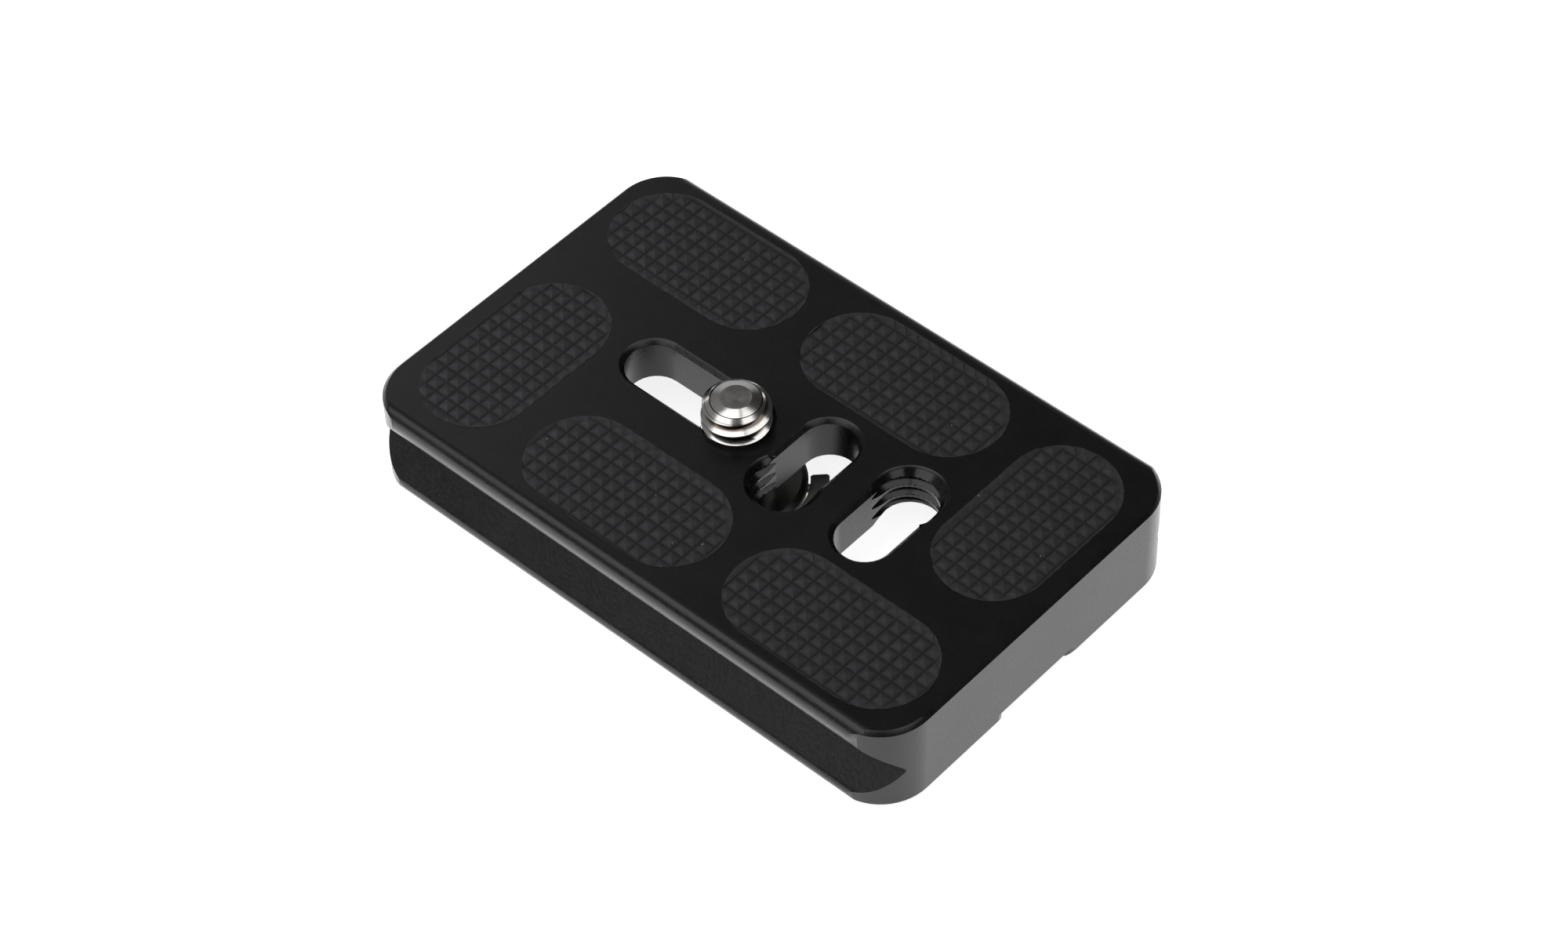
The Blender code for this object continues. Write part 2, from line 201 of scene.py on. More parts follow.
SATIN_STEEL = (0.2, 0.196, 0.19)
SATIN_ROUGHNESS = 0.5
STEEL_RING_DEPTH = 0.003 * MM
# Painted shade, a dark brown, down in the screw thread's grooves: full inside the first radius,
# gone outside the second
PAINTED_GROOVE_SHADE = (0.13, 0.105, 0.088)
GROOVE_RADII = (2.6 * MM, 2.78 * MM)
# A fine darker ring down in the small groove at the screw tip's step
SEAM_DARKENING = (0.1, 0.1, 0.105)
PAPER = (0.45, 0.45, 0.45, 1)
# The middle part of a noise's range, which holds most of its values
NOISE_LOW, NOISE_HIGH = 0.3, 0.7

# Studio
FLOOR_SIZE = 3.0
FLOOR_REACH_BEHIND = 0.25
FLOOR_DROP = 0.02 * MM
FLOOR_GLOW = 1.33
BACKDROP_GLOW = 0.86
# Each panel's left and right side, near and far side, height and glow, as the camera sees the plate
PANELS = {
    "overhead_left": ((-0.95, 0.045), (-0.46, 0.15), 0.62, 2.0),
    "overhead_right": ((0.08, 0.75), (-0.46, 0.17), 0.62, 1.7),
    "near_left": ((-0.95, -0.22), (-0.85, -0.46), 0.62, 1.8),
    "near_right": ((0.22, 0.75), (-0.85, -0.46), 0.62, 1.7),
    "far_left": ((-0.25, -0.072), (0.46, 1.1), 0.62, 0.95),
    "left_fill": ((-0.22, -0.12), (-0.02, 0.1), 0.13, 15.0),
}
# Lights the plate's left end a little more, and shows in no reflection
MATT_PANELS = ("left_fill",)
# The room's own glow, and its two brighter patches, to the left and behind. Each has its direction,
# how near that direction it starts and is full, and its glow
ROOM_GLOW = 0.04
ROOM_PATCHES = (
    ((-0.75, -0.5, 0.43), (0.25, 1.0), 0.22),
    ((-0.65, 0.69, 0.32), (0.9, 0.99), 0.5),
)


def mesh_object(name, bm, sharp_degrees=SHARP_EDGE):
    """A new object from the bmesh, shaded smooth with edges over that angle sharp."""
    bmesh.ops.recalc_face_normals(bm, faces=bm.faces)
    mesh = bpy.data.meshes.new(name)
    bm.to_mesh(mesh)
    bm.free()
    mesh.shade_smooth()
    mesh.set_sharp_from_angle(angle=math.radians(sharp_degrees))
    obj = bpy.data.objects.new(name, mesh)
    bpy.context.scene.collection.objects.link(obj)
    return obj


def apply_modifiers(obj):
    """Puts the object's modifiers into its mesh."""
    graph = bpy.context.evaluated_depsgraph_get()
    mesh = bpy.data.meshes.new_from_object(obj.evaluated_get(graph))
    obj.modifiers.clear()
    old = obj.data
    obj.data = mesh
    bpy.data.meshes.remove(old)


def cut(target, cutter, operation="DIFFERENCE"):
    """Applies a Boolean with the cutter and deletes the cutter."""
    modifier = target.modifiers.new(cutter.name, "BOOLEAN")
    modifier.operation = operation
    modifier.solver = "EXACT"
    modifier.object = cutter
    bpy.context.view_layer.update()
    apply_modifiers(target)
    bpy.data.objects.remove(cutter, do_unlink=True)


def bridge_rings(bm, rings):
    """Quads between closed rings of vertices."""
    for lower, upper in zip(rings, rings[1:]):
        count = len(lower)
        for i in range(count):
            j = (i + 1) % count
            bm.faces.new((lower[i], lower[j], upper[j], upper[i]))


def camera_axes():
    """The camera's right, up and back directions."""
    a, e = CAMERA_AZIMUTH, CAMERA_ELEVATION
    back = Vector((math.sin(a) * math.cos(e), -math.cos(a) * math.cos(e), math.sin(e)))
    right = Vector((math.cos(a), math.sin(a), 0))
    up = back.cross(right)
    turned_right = right * math.cos(CAMERA_ROLL) + up * math.sin(CAMERA_ROLL)
    turned_up = up * math.cos(CAMERA_ROLL) - right * math.sin(CAMERA_ROLL)
    return turned_right, turned_up, back


def add_camera():
    """The photograph's view: it puts the middle of the plate's top on its own pixel."""
    right, up, back = camera_axes()
    across = (PLATE_TOP_CENTRE_PIXEL[0] - IMAGE_WIDTH / 2) / FOCAL_PIXELS * CAMERA_DISTANCE
    down = (PLATE_TOP_CENTRE_PIXEL[1] - IMAGE_HEIGHT / 2) / FOCAL_PIXELS * CAMERA_DISTANCE
    place = Vector((0, 0, PLATE_HEIGHT)) + back * CAMERA_DISTANCE - right * across + up * down
    data = bpy.data.cameras.new("camera")
    data.sensor_width = SENSOR_WIDTH
    data.lens = FOCAL_PIXELS * SENSOR_WIDTH / IMAGE_WIDTH
    data.clip_start, data.clip_end = CLIP_RANGE
    camera = bpy.data.objects.new("camera", data)
    bpy.context.scene.collection.objects.link(camera)
    turn = Matrix((right, up, back)).transposed().to_4x4()
    camera.matrix_world = Matrix.Translation(place) @ turn
    bpy.context.scene.camera = camera


def add_lights():
    """Soft light panels overhead, with the camera's gap between them, and the room round them."""
    turn = Matrix.Rotation(CAMERA_AZIMUTH, 4, "Z")
    for name, ((left, right), (near, far), height, glow) in PANELS.items():
        data = bpy.data.lights.new(name, "AREA")
        data.shape = "RECTANGLE"
        data.size, data.size_y = right - left, far - near
        data.energy = glow * math.pi * data.size * data.size_y
        lamp = bpy.data.objects.new(name, data)
        bpy.context.scene.collection.objects.link(lamp)
        middle = ((left + right) / 2, (near + far) / 2, height)
        lamp.matrix_world = turn @ Matrix.Translation(middle)
        lamp.visible_glossy = name not in MATT_PANELS
        lamp.visible_camera = False
    add_room()


def add_room():
    """The world: white to the camera, and a dim room with two brighter sides to everything else."""
    world = bpy.data.worlds.new("studio")
    world.use_nodes = True
    tree = world.node_tree
    place = tree.nodes.new("ShaderNodeTexCoord")
    total = None
    for direction, (start, full), glow in ROOM_PATCHES:
        toward = tree.nodes.new("ShaderNodeVectorMath")
        toward.operation = "DOT_PRODUCT"
        toward.inputs[1].default_value = Vector(direction).normalized()
        tree.links.new(place.outputs["Generated"], toward.inputs[0])
        patch = tree.nodes.new("ShaderNodeMapRange")
        patch.interpolation_type = "SMOOTHSTEP"
        spread = {"From Min": start, "From Max": full, "To Min": 0.0, "To Max": glow}
        for key, value in spread.items():
            patch.inputs[key].default_value = value
        tree.links.new(toward.outputs["Value"], patch.inputs["Value"])
        adding = tree.nodes.new("ShaderNodeMath")
        adding.inputs[1].default_value = ROOM_GLOW
        tree.links.new(patch.outputs["Result"], adding.inputs[0])
        if total:
            tree.links.new(total, adding.inputs[1])
        total = adding.outputs[0]
    rays = tree.nodes.new("ShaderNodeLightPath")
    seen = tree.nodes.new("ShaderNodeMath")
    seen.operation = "MAXIMUM"
    tree.links.new(total, seen.inputs[0])
    tree.links.new(rays.outputs["Is Camera Ray"], seen.inputs[1])
    tree.links.new(seen.outputs[0], tree.nodes["Background"].inputs["Strength"])
    tree.nodes["Background"].inputs["Color"].default_value = (1, 1, 1, 1)
    bpy.context.scene.world = world


class Nodes:
    """Short calls for building a material's node tree."""

    def __init__(self, name):
        self.material = bpy.data.materials.new(name)
        self.material.use_nodes = True
        self.tree = self.material.node_tree
        self.shader = self.tree.nodes["Principled BSDF"]
        self.output = self.tree.nodes["Material Output"]
        self.place = self.add("ShaderNodeTexCoord").outputs["Object"]

    def add(self, kind, inputs=(), **settings):
        """A new node with these inputs and settings."""
        node = self.tree.nodes.new(kind)
        for key, value in settings.items():
            setattr(node, key, value)
        for key, value in dict(inputs).items():
            self.put(node.inputs[key], value)
        return node

    def put(self, socket, value):
        """Links a socket to another, or sets its value."""
        if isinstance(value, bpy.types.NodeSocket):
            self.tree.links.new(value, socket)
        else:
            socket.default_value = value

    def set(self, **values):
        """Sets the shader's own inputs, with _ for a space in their names."""
        for key, value in values.items():
            self.put(self.shader.inputs[key.replace("_", " ")], value)

    def noise(self, size, detail=3.0, roughness=0.55, place=None):
        """Noise from 0 to 1 with features of about this size in metres."""
        inputs = {
            "Vector": place or self.place,
            "Scale": 1 / size,
            "Detail": detail,
            "Roughness": roughness,
        }
        return self.add("ShaderNodeTexNoise", inputs).outputs["Fac"]

    def ramp(self, value, low, high, to_low=0.0, to_high=1.0):
        """Carries the range low to high over to to_low to to_high, and holds its ends."""
        inputs = {
            "Value": value,
            "From Min": low,
            "From Max": high,
            "To Min": to_low,
            "To Max": to_high,
        }
        return self.add("ShaderNodeMapRange", inputs).outputs["Result"]

    def math(self, operation, a, b=0.0):
        """The result of a sum with one or two values."""
        return self.add("ShaderNodeMath", {0: a, 1: b}, operation=operation).outputs[0]

    def mix(self, factor, a, b):
        """Colour a where the factor is 0 and colour b where it is 1."""
        node = self.add("ShaderNodeMix", data_type="RGBA")
        self.put(node.inputs["Factor"], factor)
        self.put(node.inputs["A"], (*a, 1) if isinstance(a, tuple) else a)
        self.put(node.inputs["B"], (*b, 1) if isinstance(b, tuple) else b)
        return node.outputs["Result"]

    def height(self):
        """The place's height above the plate's underside, in metres."""
        return self.add("ShaderNodeSeparateXYZ", {"Vector": self.place}).outputs["Z"]

    def blend(self, a, b, share):
        """This share of a and the rest of b."""
        rest = self.math("MULTIPLY", b, 1 - share)
        return self.math("ADD", self.math("MULTIPLY", a, share), rest)

    def bump(self, height, depth):
        """Bump of this depth in metres for a height from 0 to 1."""
        inputs = {"Height": height, "Strength": 1.0, "Distance": depth}
        return self.add("ShaderNodeBump", inputs).outputs["Normal"]

    def specks(self, spacing, radius, share):
        """1 on small dots about this far apart, on this share of the places, and 0 elsewhere."""
        cells = self.add("ShaderNodeTexVoronoi", {"Vector": self.place, "Scale": 1 / spacing})
        near = self.math("LESS_THAN", cells.outputs["Distance"], radius / spacing)
        chosen = self.math("LESS_THAN", cells.outputs["Color"], share)
        return self.math("MULTIPLY", near, chosen)


def anodised_material(name, roughness, grain_depth):
    """Bead blasted aluminium under a sealed black anodised layer: grainy sides and a finer top."""
    nodes = Nodes(name)
    grain = nodes.noise(0.3 * MM, detail=4.0, roughness=0.75)
    cloud = nodes.noise(1.3 * MM, detail=4.0)
    patches = nodes.noise(6 * MM)
    edge_zone = (PLATE_HEIGHT - 0.02 * MM, PLATE_HEIGHT - 0.12 * MM)
    side = nodes.ramp(nodes.height(), *edge_zone, TOP_FACE_GRAIN, 1.0)
    tone = nodes.blend(grain, cloud, 0.7)
    uneven = nodes.math("MULTIPLY", nodes.math("SUBTRACT", tone, 0.5), side)
    colour = nodes.mix(nodes.ramp(uneven, -0.07, 0.07), *ANODISED_COLOURS)
    dust = nodes.specks(2.3 * MM, 0.035 * MM, 0.1)
    relief = nodes.math("MULTIPLY", grain, side)
    nodes.set(
        Base_Color=nodes.mix(dust, colour, ANODISED_DUST),
        Roughness=nodes.ramp(patches, NOISE_LOW, NOISE_HIGH, *roughness),
        IOR=ANODISED_IOR,
        Normal=nodes.bump(relief, grain_depth),
    )
    return nodes.material


def rubber_material():
    """Matte black moulded rubber with painted shade down in its valleys, a fine grain and pale
    dust.
    """
    nodes = Nodes("moulded_rubber")
    grain = nodes.noise(0.12 * MM, detail=4.0, roughness=0.75)
    mottle = nodes.noise(0.9 * MM)
    tone = nodes.blend(grain, mottle, 0.5)
    tip = PLATE_HEIGHT + PYRAMID_PROUD
    # Painted shade: the rubber's colour darkens over the lower part of each pyramid, down to the
    # valley floor
    rise = nodes.ramp(nodes.height(), tip - PYRAMID_HEIGHT, tip - 0.4 * PYRAMID_HEIGHT)
    rubber = nodes.mix(nodes.ramp(tone, 0.38, 0.62), *RUBBER_COLOURS)
    colour = nodes.mix(rise, PAINTED_VALLEY_SHADE, rubber)
    dust = nodes.specks(1.6 * MM, 0.06 * MM, 0.3)
    nodes.set(
        Base_Color=nodes.mix(dust, colour, RUBBER_DUST),
        Roughness=nodes.ramp(grain, NOISE_LOW, NOISE_HIGH, *RUBBER_ROUGHNESS),
        IOR=RUBBER_IOR,
        Normal=nodes.bump(grain, RUBBER_GRAIN_DEPTH),
    )
    return nodes.material


def steel_material(name, colour, roughness, axis, groove=None, seam=None):
    """Turned steel: fine rings about the axis, and small changes of gloss.

    groove is a thread's lowest and highest point, between which its grooves get painted shade, a
    dark brown. seam is the radius and half width of a fine dark ring, and the height that it lies
    above.
    """
    nodes = Nodes(name)
    inputs = {"Vector": nodes.place, "Location": (-axis[0], -axis[1], 0)}
    local = nodes.add("ShaderNodeMapping", inputs).outputs["Vector"]
    parts = nodes.add("ShaderNodeSeparateXYZ", {"Vector": local})
    x, y, z = (parts.outputs[key] for key in "XYZ")
    x_squared = nodes.math("MULTIPLY", x, x)
    y_squared = nodes.math("MULTIPLY", y, y)
    radius = nodes.math("SQRT", nodes.math("ADD", x_squared, y_squared))
    along = nodes.math("ADD", radius, z)
    rings_place = nodes.add("ShaderNodeCombineXYZ", {"X": along}).outputs["Vector"]
    rings = nodes.noise(0.05 * MM, detail=2.0, place=rings_place)
    smudge = nodes.noise(0.8 * MM)
    streaks = nodes.ramp(rings, NOISE_LOW, NOISE_HIGH, 0.8, 1.0)
    shade = nodes.mix(streaks, (0, 0, 0), colour)
    # Painted shade in the thread's grooves, darker deeper in, between the two heights
    if groove:
        bottom, top = groove
        deep, shallow = GROOVE_RADII
        depth = nodes.ramp(radius, shallow, deep)
        above = nodes.math("GREATER_THAN", z, bottom)
        below = nodes.math("LESS_THAN", z, top)
        groove_shade_mask = nodes.math("MULTIPLY", depth, nodes.math("MULTIPLY", above, below))
        shade = nodes.mix(groove_shade_mask, shade, PAINTED_GROOVE_SHADE)
    if seam:
        seam_radius, half_width, bottom = seam
        away = nodes.math("ABSOLUTE", nodes.math("SUBTRACT", radius, seam_radius))
        near = nodes.math("LESS_THAN", away, half_width)
        above = nodes.math("GREATER_THAN", z, bottom)
        shade = nodes.mix(nodes.math("MULTIPLY", near, above), shade, SEAM_DARKENING)
    gloss = (roughness * 0.85, roughness * 1.25)
    nodes.set(
        Base_Color=shade,
        Metallic=1.0,
        Roughness=nodes.ramp(smudge, NOISE_LOW, NOISE_HIGH, *gloss),
        Normal=nodes.bump(rings, STEEL_RING_DEPTH),
    )
    return nodes.material


def floor_material():
    """White to the camera and in reflections, and plain paper to the light that it gets."""
    nodes = Nodes("white_paper")
    nodes.set(Base_Color=PAPER, Roughness=0.9)
    rays = nodes.add("ShaderNodeLightPath").outputs
    through = nodes.math("MAXIMUM", rays["Is Glossy Ray"], rays["Is Transmission Ray"])
    seen = nodes.math("MULTIPLY", rays["Is Camera Ray"], BACKDROP_GLOW)
    shown = nodes.math("MULTIPLY", through, FLOOR_GLOW)
    glow = nodes.add("ShaderNodeEmission", {"Strength": nodes.math("ADD", seen, shown)})
    both = nodes.add("ShaderNodeAddShader")
    nodes.tree.links.new(glow.outputs[0], both.inputs[0])
    nodes.tree.links.new(nodes.shader.outputs[0], both.inputs[1])
    nodes.tree.links.new(both.outputs[0], nodes.output.inputs["Surface"])
    return nodes.material


def add_floor():
    """A paper floor, turned with the camera, whose far edge is close behind the plate."""
    bm = bmesh.new()
    bmesh.ops.create_grid(bm, x_segments=1, y_segments=1, size=FLOOR_SIZE / 2)
    floor = mesh_object("floor", bm)
    middle = Vector((0, FLOOR_REACH_BEHIND - FLOOR_SIZE / 2, -FLOOR_DROP))
    floor.location = Matrix.Rotation(CAMERA_AZIMUTH, 4, "Z") @ middle
    floor.rotation_euler.z = CAMERA_AZIMUTH
    floor.data.materials.append(floor_material())


def stadium(length, width):
    """(x, y) points round a slot outline that runs along X."""
    steps = ROUND_END_STEPS
    radius = width / 2
    reach = length / 2 - radius
    points = []
    for side in (1, -1):
        for i in range(steps + 1):
            turn = math.pi * (i / steps - 0.5) + (math.pi if side < 0 else 0)
            points.append((side * reach + radius * math.cos(turn), radius * math.sin(turn)))
    return points


def along_outline(points, spacing):
    """Points at even spacing round a closed outline."""
    loop = [Vector(p) for p in points] + [Vector(points[0])]
    walked = [0.0]
    for a, b in zip(loop, loop[1:]):
        walked.append(walked[-1] + (b - a).length)
    count = round(walked[-1] / spacing)
    marks = np.linspace(0, walked[-1], count, endpoint=False)
    xs = np.interp(marks, walked, [p.x for p in loop])
    ys = np.interp(marks, walked, [p.y for p in loop])
    return [Vector((x, y)) for x, y in zip(xs, ys)]


def ragged_prism(name, outline, centre, low, high):
    """A prism over the outline, whose edge wanders a little as flashed rubber does."""
    bm = bmesh.new()
    rings = [[], []]
    count = len(outline)
    for i, point in enumerate(outline):
        tangent = outline[(i + 1) % count] - outline[i - 1]
        outward = Vector((tangent.y, -tangent.x)).normalized()
        place = Vector((point.x + centre.x, point.y + centre.y, 0))
        long_wave, short_wave = RIM_WAVES
        wander = noise.noise(place / long_wave) + 0.5 * noise.noise(place / short_wave)
        edge = place.to_2d() + outward * (RIM_OVERLAP + RIM_RAGGEDNESS * wander)
        for ring, height in zip(rings, (low, high)):
            ring.append(bm.verts.new((edge.x, edge.y, height)))
    bridge_rings(bm, rings)
    bm.faces.new(rings[0])
    bm.faces.new(rings[1])
    return mesh_object(name, bm)


def pyramid_sheet(name, low, high, base, valley):
    """A slab larger than the pad all round, whose top is a grid of pyramids with blunt tips."""
    pitch = PYRAMID_PITCH
    first_x = valley[0] - math.ceil((valley[0] - low.x) / pitch + 1) * pitch
    first_y = valley[1] - math.ceil((valley[1] - low.y) / pitch + 1) * pitch
    columns = math.ceil((high.x - first_x) / pitch) + 1
    rows = math.ceil((high.y - first_y) / pitch) + 1
    top = PLATE_HEIGHT + PYRAMID_PROUD
    bottom = top - PYRAMID_HEIGHT
    bm = bmesh.new()
    corners = [
        [bm.verts.new((first_x + i * pitch, first_y + j * pitch, bottom)) for j in range(rows + 1)]
        for i in range(columns + 1)
    ]
    half_tip = PYRAMID_TIP_WIDTH / 2
    shoulder = pitch / 2 - VALLEY_WIDTH
    signs = ((-1, -1), (1, -1), (1, 1), (-1, 1))
    for i in range(columns):
        for j in range(rows):
            x = first_x + (i + 0.5) * pitch
            y = first_y + (j + 0.5) * pitch
            wear = TIP_WEAR * noise.noise(Vector((x, y, 0)) / TIP_WEAR_SPREAD)
            foot = (corners[i][j], corners[i + 1][j], corners[i + 1][j + 1], corners[i][j + 1])
            levels = [foot]
            for reach, height in ((shoulder, bottom + VALLEY_SHOULDER), (half_tip, top + wear)):
                places = [(x + sx * reach, y + sy * reach, height) for sx, sy in signs]
                levels.append([bm.verts.new(place) for place in places])
            bridge_rings(bm, levels)
            bm.faces.new(levels[-1])
    walls = [edge for edge in bm.edges if edge.is_boundary]
    lowered = bmesh.ops.extrude_edge_only(bm, edges=walls)["geom"]
    for vert in (part for part in lowered if isinstance(part, bmesh.types.BMVert)):
        vert.co.z = base
    bmesh.ops.contextual_create(bm, geom=[e for e in bm.edges if e.is_boundary])
    return mesh_object(name, bm)


def level_rim(pad, centre, size):
    """Brings the pad's top edge to one height all round, where the rubber meets the plate."""
    radius = min(size.x, size.y) / 2
    reach = (max(size.x, size.y) / 2 - radius) * Vector((size.x > size.y, size.y > size.x))
    for vert in pad.data.vertices:
        place = (vert.co - centre).to_2d()
        nearest = Vector([max(-r, min(r, p)) for p, r in zip(place, reach)])
        inside = radius + RIM_OVERLAP - (place - nearest).length
        is_top = vert.co.z > PLATE_HEIGHT - 2 * PYRAMID_HEIGHT
        if is_top and inside < 1.6 * RIM_RAGGEDNESS:
            vert.co.z = PLATE_HEIGHT + RIM_PROUD


def add_pads():
    """Each pad's CAD solid is replaced by moulded rubber in the same place."""
    rubber = rubber_material()
    for name, (offset_x, offset_y) in VALLEY_OFFSETS.items():
        low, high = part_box(name)
        size = high - low
        centre = (low + high) / 2
        outline = stadium(max(size.x, size.y), min(size.x, size.y))
        if size.y > size.x:
            outline = [(-y, x) for x, y in outline]
        outline = along_outline(outline, RIM_SPACING)
        valley = (centre.x + offset_x, centre.y + offset_y)
        pad = pyramid_sheet(name + "_rubber", low, high, low.z, valley)
        prism = ragged_prism("trim", outline, centre, low.z - MM, high.z + MM)
        cut(pad, prism, "INTERSECT")
        level_rim(pad, centre, size)
        pad.data.shade_flat()
        pad.data.materials.clear()
        pad.data.materials.append(rubber)
        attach(pad, "plate")
        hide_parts(name)


def thread_height(turns, crest, root):
    """0 at the thread's root and 1 at its crest, for a place counted in pitches."""
    part = turns - math.floor(turns)
    from_crest = abs(part - 0.5) * THREAD_PITCH
    flank = (THREAD_PITCH - crest - root) / 2
    return min(1.0, max(0.0, (THREAD_PITCH / 2 - root / 2 - from_crest) / flank))


def helix(axis, low, high):
    """A threaded rod that reaches past low and high: a strip of the thread's profile, wound up."""
    steps = TURNED_STEPS
    flank = (THREAD_PITCH - THREAD_CREST - THREAD_ROOT) / 2
    profile = (
        (THREAD_MINOR, 0.0),
        (THREAD_MINOR, THREAD_ROOT),
        (THREAD_MAJOR, THREAD_ROOT + flank),
        (THREAD_MAJOR, THREAD_ROOT + flank + THREAD_CREST),
    )
    crest = THREAD_ROOT + flank + THREAD_CREST / 2
    facing = math.atan2(-math.cos(CAMERA_AZIMUTH), math.sin(CAMERA_AZIMUTH))
    front = FRONT_CREST_HEIGHT - crest - THREAD_PITCH * facing / (2 * math.pi)
    start = front - THREAD_PITCH * math.ceil((front - low) / THREAD_PITCH + 1)
    turns = math.ceil((high - start) / THREAD_PITCH) + 1
    last = steps * turns
    bm = bmesh.new()
    strip = []
    for j in range(last + 1):
        angle = 2 * math.pi * j / steps
        rise = start + THREAD_PITCH * j / steps
        x, y = math.cos(angle), math.sin(angle)
        places = [(axis.x + r * x, axis.y + r * y, rise + z) for r, z in profile]
        strip.append([bm.verts.new(place) for place in places])
    for j in range(last):
        for p in range(3):
            bm.faces.new((strip[j][p], strip[j + 1][p], strip[j + 1][p + 1], strip[j][p + 1]))
        if j < last - steps:
            above = j + steps
            bm.faces.new((strip[j][3], strip[j + 1][3], strip[above + 1][0], strip[above][0]))
    bottom = [strip[j][0] for j in range(steps + 1)] + strip[0][:0:-1]
    top = [strip[j][3] for j in range(last - steps, last + 1)] + strip[last][2::-1]
    highest = strip[last][3].co.z
    for loop, height in ((bottom, start - THREAD_PITCH), (top, highest + THREAD_PITCH)):
        middle = bm.verts.new((axis.x, axis.y, height))
        for k, vert in enumerate(loop):
            bm.faces.new((vert, loop[(k + 1) % len(loop)], middle))
    return mesh_object("threaded_rod", bm, SHARP_TURNED_EDGE)


def turned(name, axis, profile):
    """A solid of revolution. The profile's (radius, height) points run up from axis to axis."""
    bm = bmesh.new()
    angles = [2 * math.pi * i / TURNED_STEPS for i in range(TURNED_STEPS)]
    rings = []
    for radius, height in profile[1:-1]:
        across = [(radius * math.cos(a), radius * math.sin(a)) for a in angles]
        rings.append([bm.verts.new((axis.x + x, axis.y + y, height)) for x, y in across])
    bridge_rings(bm, rings)
    for end, ring in ((profile[0], rings[0]), (profile[-1], rings[-1])):
        middle = bm.verts.new((axis.x, axis.y, end[1]))
        for i in range(TURNED_STEPS):
            bm.faces.new((ring[i], ring[(i + 1) % TURNED_STEPS], middle))
    return mesh_object(name, bm, SHARP_TURNED_EDGE)


def turning_marks(height):
    """Profile points of fine turned rings on the flat tip, from its rim in to its middle."""
    points = []
    outer = TIP_FLAT_RADIUS - TURNING_MARK_MARGIN
    count = round((outer - TURNING_MARK_MARGIN) / TURNING_MARK_SPACING)
    for i in range(count):
        radius = outer - (i + 0.5) * TURNING_MARK_SPACING
        depth = TURNING_MARK_DEPTH * (0.6 + 0.4 * math.sin(9.7 * i)) * (i % 2)
        points.append((radius, height - depth))
    return points


def tip_profile(bottom, top):
    """The threaded end's outline: full below, then a chamfer, a small step, a cone and the flat."""
    cone_foot = top - TIP_CONE_DROP
    outer = THREAD_MAJOR + TIP_CLEARANCE
    rim = TIP_CONE_RADIUS + 2 * TIP_STEP_OUT
    edge_out, edge_in, edge_down = TIP_FLAT_EDGE
    return [
        (0, bottom),
        (outer, bottom),
        (outer, cone_foot - (outer - rim) * TIP_CHAMFER_SLOPE),
        (rim, cone_foot),
        (TIP_CONE_RADIUS + TIP_STEP_OUT, cone_foot - TIP_STEP_DOWN),
        (TIP_CONE_RADIUS, cone_foot),
        (TIP_FLAT_RADIUS + edge_out, top - edge_down),
        (TIP_FLAT_RADIUS - edge_in, top),
        *turning_marks(top),
        (0, top),
    ]


def head_profile(low, radius, thread_foot):
    """The head and neck's outline, with a cone at the thread's foot where its groove runs out."""
    head_top = low + HEAD_THICKNESS
    cone_top = thread_foot + RUN_OUT_HEIGHT
    return [
        (0, low),
        (radius - HEAD_UNDER_CHAMFER, low),
        (radius, low + HEAD_UNDER_CHAMFER),
        (radius, head_top - HEAD_CHAMFER),
        (radius - HEAD_CHAMFER, head_top),
        (NECK_RADIUS + NECK_FILLET, head_top),
        (NECK_RADIUS + NECK_FILLET_MIDDLE, head_top + NECK_FILLET_MIDDLE),
        (NECK_RADIUS, head_top + NECK_FILLET),
        (NECK_RADIUS, thread_foot),
        (THREAD_MAJOR - TURNED_EDGE, thread_foot),
        (THREAD_MAJOR, thread_foot + TURNED_EDGE),
        (THREAD_MAJOR, thread_foot + 2 * TURNED_EDGE),
        (THREAD_MINOR, cone_top),
        (NECK_RADIUS, cone_top),
        (NECK_RADIUS, cone_top + TURNED_EDGE),
        (0, cone_top + TURNED_EDGE),
    ]


def block(name, centre, size, turn):
    """A box-shaped cutter, turned about its own upright axis."""
    bm = bmesh.new()
    bmesh.ops.create_cube(bm, size=1)
    bmesh.ops.scale(bm, vec=size, verts=bm.verts)
    obj = mesh_object(name, bm)
    obj.matrix_world = Matrix.Translation(centre) @ Matrix.Rotation(turn, 4, "Z")
    return obj


def stud_seat(centre, turn):
    """A round cutter along the pivot line, at one side of the head."""
    bm = bmesh.new()
    bmesh.ops.create_cone(
        bm,
        cap_ends=True,
        segments=STUD_SEAT_SIDES,
        radius1=STUD_RADIUS,
        radius2=STUD_RADIUS,
        depth=2 * STUD_DEPTH,
    )
    obj = mesh_object("stud_seat", bm)
    lying = Matrix.Rotation(turn, 4, "Z") @ Matrix.Rotation(math.pi / 2, 4, "Y")
    obj.matrix_world = Matrix.Translation(centre) @ lying
    return obj


